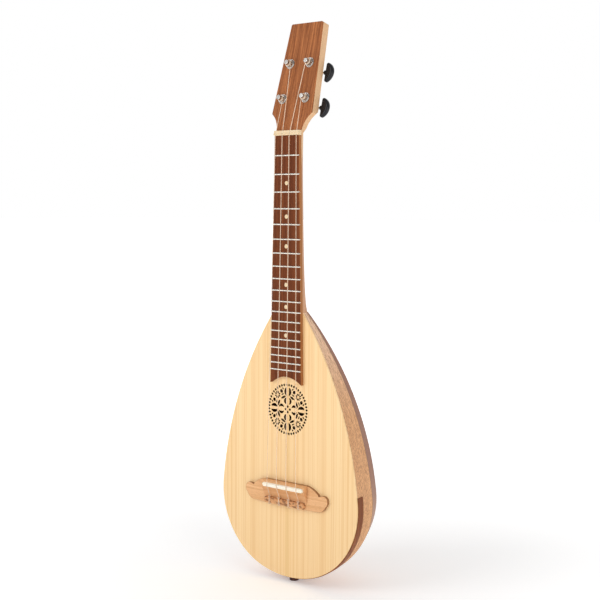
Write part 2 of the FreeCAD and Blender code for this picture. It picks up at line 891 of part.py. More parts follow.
def make_fingerboard():
    """The fingerboard with its fret slots, dot sockets and hollow lower end."""
    body = new_body("fingerboard", instrument_placement())
    plan = sketch_on(body, "XZ_Plane", "0")
    tip = board_half("fingerboard_tip")
    outline(
        plan,
        [
            (f"-({tip})", "fingerboard_tip", "-fingerboard_arch_radius"),
            (tip, "fingerboard_tip"),
            ("nut_half_width", "0"),
            ("-nut_half_width", "0"),
        ],
    )
    pad(body, plan, "fingerboard_thickness")
    slots = sketch_on(body, "XZ_Plane", "fingerboard_thickness")
    for number in range(1, int(size("fret_count")) + 1):
        height = fret_height(number)
        box_outline(slots, "-40", f"{height} - slot_width / 2", "40", f"{height} + slot_width / 2")
    pocket(body, slots, "slot_depth")
    sockets = sketch_on(body, "XZ_Plane", "fingerboard_thickness")
    for number in FRET_DOTS:
        circle(sockets, "0", str((fret_height(number - 1) + fret_height(number)) / 2), "dot_radius")
    pocket(body, sockets, "dot_depth")
    keep(body, "fingerboard")


def make_frets():
    """Metal frets: a domed crown over a tang that fills its slot."""
    top = -size("fingerboard_thickness")
    crown, tang = size("fret_width") / 2, size("slot_width") / 2
    bottom = top + size("slot_depth")
    frets = []
    for number in range(1, int(size("fret_count")) + 1):
        height = fret_height(number)
        half = size(board_half(str(height))) - 0.2
        corners = [
            Vector(-half, top, height + crown),
            Vector(-half, top, height + tang),
            Vector(-half, bottom, height + tang),
            Vector(-half, bottom, height - tang),
            Vector(-half, top, height - tang),
            Vector(-half, top, height - crown),
        ]
        dome = Part.Arc(corners[-1], Vector(-half, top - size("fret_crown"), height), corners[0])
        sides = [Part.LineSegment(corners[i], corners[i + 1]).toShape() for i in range(5)]
        profile = Part.Face(Part.Wire(sides + [dome.toShape()]))
        frets.append(profile.extrude(Vector(2 * half, 0, 0)))
    feature = doc.addObject("Part::Feature", "frets")
    feature.Shape = Part.makeCompound(frets)
    feature.Placement = instrument_placement()
    keep(feature, "frets")


def make_fret_dots():
    """Round inlays between the frets, flush with the fingerboard."""
    dots = []
    for number in FRET_DOTS:
        height = (fret_height(number - 1) + fret_height(number)) / 2
        start = Vector(0, -size("fingerboard_thickness"), height)
        dots.append(
            rod(f"dot_{number}", instrument_placement(), start, Vector(0, 1, 0), "dot_radius", "dot_depth")
        )
    keep(group("fret_dots", dots), "fret_dots")


# ---------------------------------------------------------------- strings and what they rest on


def string_across(number, spacing):
    """The sideways place of a string, counted from the left."""
    return (number - 2.5) * size(spacing)


def head_point(across, depth, rise):
    """A point of the headstock's frame in the instrument's frame."""
    to_instrument = instrument_placement().inverse().multiply(head_placement())
    return to_instrument.multVec(Vector(across, depth, rise))


def string_post(number):
    """Side and level of the post that a string winds on, outer strings on the lower posts."""
    side = -1 if number < 3 else 1
    return side, "lower" if number in (1, 4) else "upper"


def wrap_depth(number):
    """The depth in front of the headstock's face at which a string first winds on its post."""
    seat = size("washer_thickness + hex_height")
    return -seat - 0.4 - STRING_RADII[number - 1]


def wrap_radius(number):
    return size("post_radius") + STRING_RADII[number - 1] + 0.12


def post_centre(number):
    """The side of a string's post, and the middle of its first turn in the headstock's frame."""
    side, level = string_post(number)
    across = side * size(f"{level}_post_across")
    return side, Vector(across, wrap_depth(number), size(f"{level}_post_rise"))


def string_touch(number):
    """Where a string meets its post on the inner side, and its bearing there, in the headstock's frame."""
    side, centre = post_centre(number)
    nut = Vector(string_across(number, "nut_spacing"), -size("nut_groove") - STRING_RADII[number - 1], 0)
    start = head_placement().inverse().multiply(instrument_placement()).multVec(nut)
    way = Vector(centre.x - start.x, 0, centre.z - start.z)
    swing = math.asin(wrap_radius(number) / way.Length)
    bearing = math.atan2(way.x, way.z) - side * swing
    outward = Vector(math.cos(bearing), 0, -math.sin(bearing))
    return centre - outward * (side * wrap_radius(number)), bearing


def string_points(number):
    """The corner points of a string from its knot at the bridge to its post, and the bend radii."""
    radius = STRING_RADII[number - 1]
    low = string_across(number, "saddle_spacing")
    high = string_across(number, "nut_spacing")
    tail = size("bridge_bottom + tie_setback") - 1.4
    front = size("bridge_bottom + tie_width") + 1.2
    hole = -size("tie_hole_height")
    over = -size("tie_top") - radius - 0.1
    touch, bearing = string_touch(number)
    approach = touch - Vector(math.sin(bearing), 0, math.cos(bearing)) * 5
    points = [
        Vector(low + 1.6, over + 2.4, front),
        Vector(low + 1.4, over, front),
        Vector(low + 0.6, over, tail),
        Vector(low, hole, tail),
        Vector(low, hole, front),
        Vector(low, -size("saddle_top") - radius - 0.16, size("saddle_height") - 1),
        Vector(high, -size("nut_groove") - radius, 0),
        head_point(approach.x, approach.y, approach.z),
        head_point(touch.x, touch.y, touch.z),
    ]
    return points, [0.9, 1.1, 1.1, 3.0, 4.0, 6.0, 60.0]


def rounded_path(points, bends):
    """Straight runs through the points, joined by tangent arcs of the given radii."""
    edges = []
    last = points[0]
    for index, radius in enumerate(bends, start=1):
        before = (points[index] - points[index - 1]).normalize()
        after = (points[index + 1] - points[index]).normalize()
        turn = before.getAngle(after)
        back = radius * math.tan(turn / 2)
        start = points[index] - before * back
        end = points[index] + after * back
        towards = (after - before).normalize()
        centre = points[index] + towards * (radius / math.cos(turn / 2))
        middle = centre - towards * radius
        edges.append(Part.LineSegment(last, start).toShape())
        edges.append(Part.Arc(start, middle, end).toShape())
        last = end
    edges.append(Part.LineSegment(last, points[-1]).toShape())
    return edges


def wrap_arcs(number):
    """The part of a turn that a string makes round its post after touching it."""
    side, centre = post_centre(number)
    touch, _ = string_touch(number)
    first = math.atan2(touch.z - centre.z, touch.x - centre.x)
    reach = wrap_radius(number)

    def on_post(turn):
        angle = first - side * math.radians(turn)
        return head_point(centre.x + reach * math.cos(angle), centre.y, centre.z + reach * math.sin(angle))

    turns = (0, 110, 220, 330)
    arcs = []
    for start, end in zip(turns, turns[1:]):
        arcs.append(Part.Arc(on_post(start), on_post((start + end) / 2), on_post(end)).toShape())
    return arcs


def make_string(number):
    """One string: knot at the tie block, saddle, nut, then the turns round its post."""
    radius = STRING_RADII[number - 1]
    points, bends = string_points(number)
    spine = Part.Wire(rounded_path(points, bends) + wrap_arcs(number))
    first = (points[1] - points[0]).normalize()
    end = Part.Wire([Part.Circle(points[0], first, radius).toShape()])
    cord = spine.makePipeShell([end], True, True)
    _, centre = post_centre(number)
    turns = []
    for turn in (1, 2):
        lift = -turn * (2 * radius + 0.06)
        middle = head_point(centre.x, centre.y + lift, centre.z)
        axis = head_point(centre.x, centre.y + lift - 1, centre.z) - middle
        turns.append(Part.makeTorus(wrap_radius(number), radius, middle, axis))
    expected = math.pi * radius**2 * spine.Length
    print(f"string_{number}: {spine.Length:.1f} mm, volume {cord.Volume:.1f} of {expected:.1f}")
    feature = doc.addObject("Part::Feature", f"string_{number}")
    feature.Shape = Part.makeCompound([cord] + turns)
    feature.Placement = instrument_placement()
    keep(feature, f"string_{number}")


def make_nut():
    """The nut, with a groove for each string."""
    body = new_body("nut_blank", instrument_placement())
    profile = sketch_on(body, "YZ_Plane")
    outline(
        profile,
        [
            ("-nut_front + 0.6", "0"),
            ("0", "0"),
            ("0", "nut_thickness"),
            ("-nut_back", "nut_thickness"),
            ("-nut_front", "0.8", "0.9"),
        ],
    )
    pad(body, profile, "2 * nut_half_width", both_ways=True)
    grooves = []
    for number, radius in enumerate(STRING_RADII, start=1):
        points, _ = string_points(number)
        for ahead in (points[5], points[7]):
            grooves.append(
                rod(
                    f"groove_{len(grooves) + 1}",
                    instrument_placement(),
                    points[6],
                    ahead - points[6],
                    str(radius + 0.04),
                    "12",
                )
            )
    keep(boolean("Cut", "nut", body, group("grooves", grooves)), "nut")


def make_bridge():
    """The bridge: flat carved wings, and a raised middle that holds the saddle and slopes to the ties."""
    body = new_body("bridge", instrument_placement())
    plan = sketch_on(body, "XZ_Plane")
    right = [
        ("35.5", "bridge_bottom"),
        ("52", "bridge_bottom + 0.6", "13"),
        ("64.2", "-450", "8"),
        ("66.8", "-441.6", "5.6"),
        ("61.5", "-437", "16"),
        ("54", "-438.6", "-1.8"),
        ("52.4", "-436.6", "40"),
        ("34", "bridge_top"),
    ]
    left = [("-" + x, z) for x, z, *_ in reversed(right)]
    radii = [corner[2] if len(corner) > 2 else None for corner in right]
    for index, radius in enumerate(reversed(radii[:-1])):
        if radius is not None:
            left[index] = left[index] + (radius,)
    outline(plan, right + left)
    pad(body, plan, "wing_thickness")
    middle = sketch_on(body, "YZ_Plane")
    outline(
        middle,
        [
            ("-wing_thickness + 1", "bridge_top"),
            ("-wing_thickness + 1", "bridge_bottom + tie_width + 0.15"),
            ("-wing_thickness - 0.6", "bridge_bottom + tie_width + 0.15", "24"),
            ("-bridge_block_rise", "saddle_height - 4.2"),
            ("-bridge_block_rise", "bridge_top - 2.2", "-2.2"),
            ("-bridge_block_rise + 2.2", "bridge_top"),
        ],
    )
    pad(body, middle, "2 * bridge_block_half", both_ways=True)
    slot = sketch_on(body, "XZ_Plane", "saddle_seat")
    saddle_outline(slot)
    pocket(body, slot, "30", reverse=True)
    keep(body, "bridge")


def saddle_outline(sketch):
    """The round-ended outline of the saddle and its slot."""
    half = "saddle_width / 2"
    length = f"saddle_half - {half}"
    low, high = f"saddle_height - {half}", f"saddle_height + {half}"
    bow = f"{half} + 0.01"
    outline(sketch, [(f"-({length})", low), (length, low, bow), (length, high), (f"-({length})", high, bow)])


def make_saddle():
    """The bone strip that the strings cross."""
    body = new_body("saddle", instrument_placement())
    sketch = sketch_on(body, "XZ_Plane", "saddle_seat")
    saddle_outline(sketch)
    strip = pad(body, sketch, "saddle_top - saddle_seat")
    top = -size("saddle_top")

    round_edges(body, strip, "saddle_width / 2 - 0.6", lambda middle, edge: abs(middle.y - top) < 0.01)
    keep(body, "saddle")


def make_tie_block():
    """The rounded bar that the strings are tied to, drilled once for each."""
    body = new_body("tie_block", instrument_placement())
    sketch = sketch_on(body, "XZ_Plane", "wing_thickness")
    foot = "bridge_bottom + tie_setback"
    box_outline(sketch, "-tie_half", foot, "tie_half", "bridge_bottom + tie_width")
    bar = pad(body, sketch, "tie_top - wing_thickness")
    top = -size("tie_top")
    middle_depth = (top - size("wing_thickness")) / 2

    def upright(middle, edge):
        return abs(middle.y - middle_depth) < 0.01

    ends = round_edges(body, bar, "3.2", upright)
    round_edges(body, ends, "2", lambda middle, edge: abs(middle.y - top) < 0.01)
    holes = sketch_on(body, "XY_Plane", "bridge_bottom - 5")
    for number in range(1, 5):
        circle(holes, str(string_across(number, "saddle_spacing")), "-tie_hole_height", "tie_hole_radius")
    pocket(body, holes, "20", reverse=True)
    keep(body, "tie_block")


def make_end_pin():
    """The turned pin for a strap: a shank in the tail block, a waist and a round head."""
    body = new_body("end_pin", Placement())
    sketch = sketch_on(body, "XZ_Plane")
    waist = "nut_height + tail_height - 0.2"
    outline(
        sketch,
        [
            ("0", "0"),
            ("pin_head_radius - 0.9", "0", "0.9"),
            ("pin_head_radius", "0.9"),
            ("pin_head_radius", "pin_head_length - 0.7", "0.7"),
            ("pin_head_radius - 0.7", "pin_head_length"),
            ("pin_neck_radius", "pin_head_length"),
            ("pin_neck_radius", waist),
            ("pin_shank_radius", waist),
            ("pin_shank_radius", f"{waist} + pin_shank_length"),
            ("0", f"{waist} + pin_shank_length"),
        ],
    )
    revolve(body, sketch, "V_Axis")
    keep(body, "end_pin")


# ---------------------------------------------------------------- tuning machines


def make_machine_plate(side, level, number):
    """A machine's plate with rounded ends and the two ears that carry its worm."""
    body = new_body(f"machine_plate_{number}", machine_placement(side, level))
    plan = sketch_on(body, "XZ_Plane")
    half = "machine_plate_half"
    outline(
        plan,
        [
            (half, "plate_screw_down"),
            (half, "plate_screw_up", f"{half} + 0.01"),
            (f"-{half}", "plate_screw_up"),
            (f"-{half}", "plate_screw_down", f"{half} + 0.01"),
        ],
    )
    pad(body, plan, "machine_plate_thickness", reverse=True)
    holes = sketch_on(body, "XZ_Plane")
    circle(holes, "0", "0", "post_radius + 0.3")
    circle(holes, "0", "plate_screw_up", "screw_radius")
    circle(holes, "0", "plate_screw_down", "screw_radius")
    pocket(body, holes, "20", both_ways=True)
    for end in ("", "-"):
        ear = sketch_on(body, "YZ_Plane", f"{end}ear_offset - ear_thickness / 2")
        outline(
            ear,
            [
                ("machine_plate_thickness - 0.2", "-worm_drop - ear_radius"),
                ("worm_depth", "-worm_drop - ear_radius", "ear_radius + 0.001"),
                ("worm_depth", "-worm_drop + ear_radius"),
                ("machine_plate_thickness - 0.2", "-worm_drop + ear_radius"),
            ],
        )
        pad(body, ear, "ear_thickness")
    bore = sketch_on(body, "YZ_Plane")
    circle(bore, "worm_depth", "-worm_drop", "worm_shaft_radius + post_clearance")
    pocket(body, bore, "60", both_ways=True)
    keep(body, f"machine_plate_{number}")


def worm_placement(side, level):
    """From a worm's frame, whose z points outwards along its shaft, to the row frame."""
    middle = Vector(0, size("worm_depth"), -size("worm_drop"))
    turn = Rotation(Vector(0, 1, 0), 90 * side)
    return machine_placement(side, level).multiply(Placement(middle, turn))


def button_start(level):
    """How far out from the post a button begins, just clear of the headstock's tapered edge."""
    rise = f"({level}_post_rise - worm_drop - head_shoulder_rise) / (head_length - head_shoulder_rise)"
    edge = f"head_shoulder + (head_top - head_shoulder) * {rise}"
    return f"({edge} - {level}_post_across + button_gap)"


def make_worm(side, level, number):
    """The worm and its shaft: one thread round a core between two collars, turned by the button."""
    body = new_body(f"worm_{number}", worm_placement(side, level))
    sketch = sketch_on(body, "XZ_Plane")
    inner = "ear_offset - ear_thickness / 2 - 0.1"
    outer = "ear_offset + ear_thickness / 2"
    outline(
        sketch,
        [
            ("0", f"-({outer}) - 0.6"),
            ("worm_shaft_radius", f"-({outer}) - 0.6"),
            ("worm_shaft_radius", f"-({inner})"),
            ("worm_collar_radius", f"-({inner})"),
            ("worm_collar_radius", f"-({inner}) + 0.6"),
            ("worm_core_radius", f"-({inner}) + 0.6"),
            ("worm_core_radius", f"{inner} - 0.6"),
            ("worm_collar_radius", f"{inner} - 0.6"),
            ("worm_collar_radius", inner),
            ("worm_shaft_radius", inner),
            ("worm_shaft_radius", f"{outer} + 0.1"),
            ("worm_collar_radius", f"{outer} + 0.1"),
            ("worm_collar_radius", f"{outer} + 1.1"),
            ("worm_shaft_radius", f"{outer} + 1.1"),
            ("worm_shaft_radius", f"{button_start(level)} + button_socket"),
            ("0", f"{button_start(level)} + button_socket"),
        ],
    )
    revolve(body, sketch, "V_Axis")
    thread = sketch_on(body, "XZ_Plane")
    pitch = "(2 * pi * gear_pitch_radius / gear_teeth)"
    low = f"-1.5 * {pitch}"
    sign = "" if side > 0 else "-"
    corners = [
        (f"{sign}(worm_core_radius - 0.3)", f"{low} - 0.62"),
        (f"{sign}worm_thread_radius", f"{low} - 0.34"),
        (f"{sign}worm_thread_radius", f"{low} + 0.34"),
        (f"{sign}(worm_core_radius - 0.3)", f"{low} + 0.62"),
    ]
    outline(thread, corners)
    helix = body.newObject("PartDesign::AdditiveHelix", "Helix")
    helix.Profile = thread
    helix.ReferenceAxis = (thread, ["V_Axis"])
    helix.Mode = "pitch-height-angle"
    helix.setExpression("Pitch", expand(pitch))
    helix.setExpression("Height", expand(f"3 * {pitch}"))
    helix.LeftHanded = side < 0
    keep(body, f"worm_{number}")


def make_button(side, level, number):
    """The rounded D-shaped button on the worm's shaft, with a short hub."""
    body = new_body(f"tuning_button_{number}", worm_placement(side, level))
    start = button_start(level)
    sketch = sketch_on(body, "XZ_Plane")
    half = "button_length / 2"
    bow = f"(({half})^2 + button_reach^2) / (2 * button_reach)"
    outline(
        sketch,
        [
            (f"-{half}", start),
            (half, start, bow),
            ("0", f"{start} + button_reach", bow),
        ],
    )
    blade = pad(body, sketch, "button_thickness", both_ways=True)
    top = size(f"{start} + button_reach")

    def not_the_tip(middle, edge):
        return abs(middle.y) > 1 or middle.z < top - 1

    round_edges(body, blade, "button_rounding", not_the_tip)
    hub = sketch_on(body, "XY_Plane", f"{start} - button_hub_length")
    circle(hub, "0", "0", "button_hub_radius")
    pad(body, hub, "button_hub_length + 2")
    bore = sketch_on(body, "XY_Plane", f"{start} - button_hub_length - 1")
    circle(bore, "0", "0", "worm_shaft_radius")
    pocket(body, bore, "button_socket + button_hub_length + 1", reverse=True)
    keep(body, f"tuning_button_{number}")


def make_post(side, level, number):
    """The string post: shaft through the headstock, collar on the plate and a seat for the wheel."""
    placement = machine_placement(side, level)
    body = new_body(f"string_post_{number}", placement)
    sketch = sketch_on(body, "XY_Plane")
    top = "-head_thickness - post_proud"
    wheel = "worm_depth - gear_width / 2"
    outline(
        sketch,
        [
            ("0", top),
            ("post_radius - 0.5", top, "0.5"),
            ("post_radius", f"{top} + 0.5"),
            ("post_radius", "machine_plate_thickness + 0.1"),
            ("post_radius + 0.8", "machine_plate_thickness + 0.1"),
            ("post_radius + 0.8", wheel),
            ("post_seat_radius", wheel),
            ("post_seat_radius", "worm_depth + gear_width / 2"),
            ("0", "worm_depth + gear_width / 2"),
        ],
    )
    revolve(body, sketch, "V_Axis")
    eye = sketch_on(body, "YZ_Plane")
    circle(eye, "-head_thickness - post_eye_height", "0", "post_eye_radius")
    pocket(body, eye, "40", both_ways=True)
    tapped = sketch_on(body, "XZ_Plane", "-worm_depth - gear_width / 2 - 1")
    circle(tapped, "0", "0", "wheel_screw_radius")
    pocket(body, tapped, "wheel_screw_length + 1", reverse=True)
    keep(body, f"string_post_{number}")


def make_wheel(side, level, number):
    """The worm wheel: slanted teeth round a disc, spaced so that the worm's thread lies in a gap."""
    teeth = int(size("gear_teeth"))
    pitch_radius, width = size("gear_pitch_radius"), size("gear_width")
    root, tip = pitch_radius - size("gear_root_depth"), pitch_radius + size("gear_addendum")
    lead = pitch_radius / teeth / (size("worm_drop") - pitch_radius)
    slant = Vector(-side * lead * width, width, 0)
    low = size("worm_depth") - width / 2
    disc = Part.makeCylinder(root, width, Vector(0, low, 0), Vector(0, 1, 0))
    tooth_line = [(root - 0.3, 0.72), (tip, 0.38), (tip, -0.38), (root - 0.3, -0.72)]
    pieces = []
    for number_of_tooth in range(teeth):
        corners = [Vector(across - slant.x / 2, low, -reach) for reach, across in tooth_line]
        tooth = Part.Face(Part.makePolygon(corners + [corners[0]])).extrude(slant)
        tooth.rotate(Vector(0, 0, 0), Vector(0, 1, 0), 360 / teeth * (number_of_tooth + 0.5))
        pieces.append(tooth)
    bore = Part.makeCylinder(size("post_seat_radius"), width, Vector(0, low, 0), Vector(0, 1, 0))
    feature = doc.addObject("Part::Feature", f"worm_wheel_{number}")
    feature.Shape = disc.multiFuse(pieces).cut(bore)
    feature.Placement = machine_placement(side, level)
    keep(feature, f"worm_wheel_{number}")


def make_wheel_screw(side, level, number):
    """The screw that holds the wheel on its post, with a cross slot in its head."""
    body = new_body(f"wheel_screw_{number}", machine_placement(side, level))
    sketch = sketch_on(body, "XY_Plane")
    seat = "worm_depth + gear_width / 2"
    outline(
        sketch,
        [
            ("0", f"{seat} - wheel_screw_length"),
            ("wheel_screw_radius", f"{seat} - wheel_screw_length"),
            ("wheel_screw_radius", seat),
            ("screw_head_radius + 0.6", seat),
            ("screw_head_radius + 0.6", f"{seat} + 0.5", "4.5"),
            ("0", f"{seat} + screw_head_height"),
        ],
    )
    revolve(body, sketch, "V_Axis")
    slot = sketch_on(body, "XZ_Plane", f"-({seat} + screw_head_height) - 1")
    box_outline(slot, "-10", "-0.3", "10", "0.3")
    pocket(body, slot, "1.6", reverse=True)
    keep(body, f"wheel_screw_{number}")


def make_bushings(machines):
    """For each post a washer and a threaded sleeve with a hexagonal head, bored for the post."""
    solids = []
    bore = size("post_radius + post_clearance")
    for side, level in machines:
        washer = Part.makeCylinder(size("washer_radius"), size("washer_thickness"))
        washer = washer.cut(Part.makeCylinder(size("sleeve_radius"), 5, Vector(0, 0, -1)))
        corner = Vector(size("hex_radius"), 0, size("washer_thickness"))
        corners = [Rotation(Vector(0, 0, 1), 60 * index).multVec(corner) for index in range(7)]
        head = Part.Face(Part.makePolygon(corners)).extrude(Vector(0, 0, size("hex_height")))
        wide, narrow = size("hex_radius") + 1.2, size("hex_radius") - 0.7
        head = head.common(Part.makeCone(wide, narrow, size("hex_height") + 1.6))
        sleeve = Part.makeCylinder(
            size("sleeve_radius"),
            size("sleeve_depth + washer_thickness") + 0.2,
            Vector(0, 0, -size("sleeve_depth")),
        )
        hole = Part.makeCylinder(bore, 40, Vector(0, 0, -20))
        front = Placement(Vector(0, -size("head_thickness"), 0), Rotation(Vector(1, 0, 0), 90))
        for solid in (washer, head.fuse(sleeve).cut(hole)):
            solid.Placement = machine_placement(side, level).multiply(front)
            solids.append(solid)
    feature = doc.addObject("Part::Feature", "post_bushings")
    feature.Shape = Part.makeCompound(solids)
    keep(feature, "post_bushings")


def make_plate_screws(machines):
    """Two round-headed screws for each machine's plate."""
    solids = []
    seat, length = size("machine_plate_thickness"), size("screw_length")
    rim, rise = size("screw_head_radius"), size("screw_head_height")
    ball = rim**2 / (2 * rise) + rise / 2
    for side, level in machines:
        for end in ("plate_screw_up", "plate_screw_down"):
            shank = Part.makeCylinder(size("screw_radius"), length, Vector(0, 0, -length))
            dome = Part.makeSphere(ball, Vector(0, 0, rise - ball))
            head = Part.makeCylinder(rim, rise).common(dome)
            slot = Part.makeBox(10, 0.6, 2, Vector(-5, -0.3, rise - 0.6))
            screw = shank.fuse(head).cut(slot)
            spot_on_plate = Placement(Vector(0, seat, size(end)), Rotation(Vector(1, 0, 0), -90))
            screw.Placement = machine_placement(side, level).multiply(spot_on_plate)
            solids.append(screw)
    feature = doc.addObject("Part::Feature", "plate_screws")
    feature.Shape = Part.makeCompound(solids)
    keep(feature, "plate_screws")


def make_machine(side, level, number):
    make_machine_plate(side, level, number)
    make_worm(side, level, number)
    make_button(side, level, number)
    make_post(side, level, number)
    make_wheel(side, level, number)
    make_wheel_screw(side, level, number)


# ---------------------------------------------------------------- the whole instrument


def check_document():
    """Stops the build if any object failed or any finished piece isn't a valid solid."""
    for thing in doc.Objects:
        if "Invalid" in thing.State or "Error" in thing.State:
            raise RuntimeError(f"{thing.Name} failed: {thing.State}")
    for piece in kept:
        shape = piece.Shape
        if shape.isNull() or not shape.isValid() or not shape.Solids:
            raise RuntimeError(f"{piece.Label} isn't a valid solid")


MACHINES = ((-1, "lower"), (-1, "upper"), (1, "upper"), (1, "lower"))

ribs = [make_rib(number) for number in range(1, int(size("rib_count")) + 1)]
make_soundboard()
make_capping_strip(ribs)
make_neck_block()
make_tail_block()
make_braces()
make_neck_and_headstock()
make_headplate()
make_fingerboard()
make_frets()
make_fret_dots()
make_nut()
make_bridge()
make_saddle()
make_tie_block()
make_end_pin()
for number in range(1, 5):
    make_string(number)
for number, (side, level) in enumerate(MACHINES, start=1):
    make_machine(side, level, number)
make_bushings(MACHINES)
make_plate_screws(MACHINES)

doc.recompute()
check_document()
for piece in kept:
    piece.Shape.exportStep(os.path.join(PARTS_FOLDER, f"{piece.Label}.step"))
print(f"{len(kept)} pieces written")
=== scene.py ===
import math

import bpy
from mathutils import Matrix, Vector


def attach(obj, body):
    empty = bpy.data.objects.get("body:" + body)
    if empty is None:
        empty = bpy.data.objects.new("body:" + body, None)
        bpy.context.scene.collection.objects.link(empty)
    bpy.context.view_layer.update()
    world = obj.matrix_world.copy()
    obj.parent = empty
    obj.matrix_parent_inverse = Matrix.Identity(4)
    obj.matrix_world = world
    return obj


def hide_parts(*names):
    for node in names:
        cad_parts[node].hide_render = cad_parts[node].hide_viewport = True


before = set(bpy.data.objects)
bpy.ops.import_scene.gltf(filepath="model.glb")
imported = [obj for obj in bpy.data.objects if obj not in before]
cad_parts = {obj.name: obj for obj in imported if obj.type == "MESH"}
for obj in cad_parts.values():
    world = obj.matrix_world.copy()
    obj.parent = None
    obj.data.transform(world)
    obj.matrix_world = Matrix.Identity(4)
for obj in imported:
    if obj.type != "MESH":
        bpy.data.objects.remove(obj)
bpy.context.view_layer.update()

MM = 0.001

# Lengths are in millimetres. In the instrument's own frame z is 0 at the nut and y is 0 on the
# soundboard. The row frame stands on the floor, with the end pin at its middle, and is in metres.
PIN_DEPTH = 14.0
NUT_HEIGHT = 556.0
BOARD_THICKNESS = 2.0
ROSE_HEIGHT = -337.3
ROSE_REACH = 33.0
RIB_COUNT = 9
RIB_STEP = 180 / RIB_COUNT
# Height of the bowl's widest place, and the radius that turns a rib's bend into a length.
BELLY_HEIGHT = 126.0
BEND_RADIUS = 120.0
WING_THICKNESS = 3.5
# Width of the darker band along the edges of the bridge's wings.
DARK_EDGE_RADIUS = 0.9
# How far the grain's planes shift sideways for each step backwards.
GRAIN_SLANT = 0.83

# Headstock: its face starts a step behind the soundboard's plane and leans back.
HEAD_STEP = 1.1
NUT_THICKNESS = 6.0
HEAD_TILT = math.radians(14.4)
POSTS = {"lower": (18.3, 40.6), "upper": (15.5, 85.5)}
POST_RADIUS = 3.0
SLEEVE_FRONT = 3.4
EYE_HEIGHT = 7.9

# Strings, counted from the left.
STRING_RADII = (0.36, 0.45, 0.5, 0.38)
STRING_POSTS = ((-1, "lower"), (-1, "upper"), (1, "upper"), (1, "lower"))
NUT_SPACING = 11.2
SADDLE_SPACING = 15.8
NUT_GROOVE = 6.1
SADDLE_TOP = 11.5
SADDLE_CORNER = -435.0
TIE_TAIL = -457.7
TIE_FRONT = -449.8
TIE_TOP = 8.4
TIE_HOLE = 5.6
# Room left between a cord and the saddle, and between a coil and its post, sleeve and next turn.
SADDLE_GAP = 0.16
POST_GAP = 0.12
SLEEVE_GAP = 0.4
TURN_GAP = 0.05
FULL_TURNS = 2
STEPS_EACH_TURN = 16


def row(x, y, z):
    """A point of the instrument's frame, in millimetres, as a point of the row frame in metres."""
    return Vector((x, y - PIN_DEPTH, z + NUT_HEIGHT)) * MM


def head_row(across, depth, rise):
    """A point of the headstock's frame in the row frame: depth runs behind its face, rise along it."""
    y = -HEAD_STEP + depth * math.cos(HEAD_TILT) + rise * math.sin(HEAD_TILT)
    z = NUT_THICKNESS + rise * math.cos(HEAD_TILT) - depth * math.sin(HEAD_TILT)
    return row(across, y, z)


# ---------------------------------------------------------------- node materials


class Paint:
    """A material built from nodes. Inputs are numbers, colours, vectors or sockets of other nodes."""

    def __init__(self, name, **shader):
        self.material = bpy.data.materials.new(name)
        self.material.use_nodes = True
        self.tree = self.material.node_tree
        self.shader = next(node for node in self.tree.nodes if node.type == "BSDF_PRINCIPLED")
        self.place = self.node("TexCoord").outputs["Object"]
        self.set(**shader)

    def put(self, socket, value):
        if isinstance(value, bpy.types.NodeSocket):
            self.tree.links.new(value, socket)
        elif socket.type == "RGBA" and len(value) == 3:
            socket.default_value = (*value, 1)
        else:
            socket.default_value = value

    def set(self, **shader):
        """Sets inputs of the surface shader, named with underscores for spaces."""
        for name, value in shader.items():
            self.put(self.shader.inputs[name.replace("_", " ")], value)

    def node(self, kind, inputs=None, **settings):
        node = self.tree.nodes.new("ShaderNode" + kind)
        for name, value in settings.items():
            setattr(node, name, value)
        for name, value in (inputs or {}).items():
            self.put(node.inputs[name], value)
        return node

    def math(self, operation, first, second=0.0):
        return self.node("Math", {0: first, 1: second}, operation=operation).outputs[0]

    def plus(self, first, second):
        return self.math("ADD", first, second)

    def times(self, first, second):
        return self.math("MULTIPLY", first, second)

    def length(self, first, second):
        """How long the vector with these two components is."""
        return self.math("SQRT", self.plus(self.math("POWER", first, 2), self.math("POWER", second, 2)))

    def axes(self, vector=None):
        return self.node("SeparateXYZ", {0: vector or self.place}).outputs

    def facing(self, axis):
        """How squarely a face looks along an axis, either way: 1 when it looks straight along it."""
        normal = self.node("TexCoord").outputs["Normal"]
        return self.math("ABSOLUTE", self.axes(normal)[axis])

    def join(self, x=0.0, y=0.0, z=0.0):
        return self.node("CombineXYZ", {0: x, 1: y, 2: z}).outputs[0]

    def stretched(self, scale):
        return self.node("Mapping", {"Vector": self.place, "Scale": scale}).outputs[0]

    def noise(self, vector, detail=3.0, roughness=0.5, distortion=0.0):
        inputs = {"Vector": vector, "Scale": 1.0, "Detail": detail, "Roughness": roughness}
        inputs["Distortion"] = distortion
        return self.node("TexNoise", inputs).outputs[0]

    def between(self, value, low, high, start=0.0, end=1.0):
        """The value's place from low to high, smoothed, as a number from start to end."""
        inputs = {"Value": value, "From Min": low, "From Max": high, "To Min": start, "To Max": end}
        return self.node("MapRange", inputs, interpolation_type="SMOOTHSTEP").outputs[0]

    def mix(self, amount, first, second):
        node = self.node("Mix", data_type="RGBA", blend_type="MIX")
        self.put(node.inputs[0], amount)
        self.put(node.inputs[6], first)
        self.put(node.inputs[7], second)
        return node.outputs[2]

    def bump(self, height, depth, strength=1.0):
        inputs = {"Height": height, "Distance": depth, "Strength": strength}
        return self.node("Bump", inputs).outputs[0]


def wood_shader(name, roughness=0.5, coat=0.03):
    """A satin finish: a low sheen, so that dark woods keep their colour in a white room."""
    return Paint(name, Roughness=roughness, Specular_IOR_Level=0.15, Coat_Weight=coat, Coat_Roughness=0.3)


def rose_walls(paint):
    """One on the cut walls of the rose's holes, which are painted near black: scorched wood together with
    painted shade from the dark hollow behind them. Zero everywhere else.
    """
    x, _, z = paint.axes()
    rise = paint.math("SUBTRACT", z, (NUT_HEIGHT + ROSE_HEIGHT) * MM)
    inside = paint.math("LESS_THAN", paint.length(x, rise), ROSE_REACH * MM)
    return paint.times(inside, paint.math("LESS_THAN", paint.facing(1), 0.5))


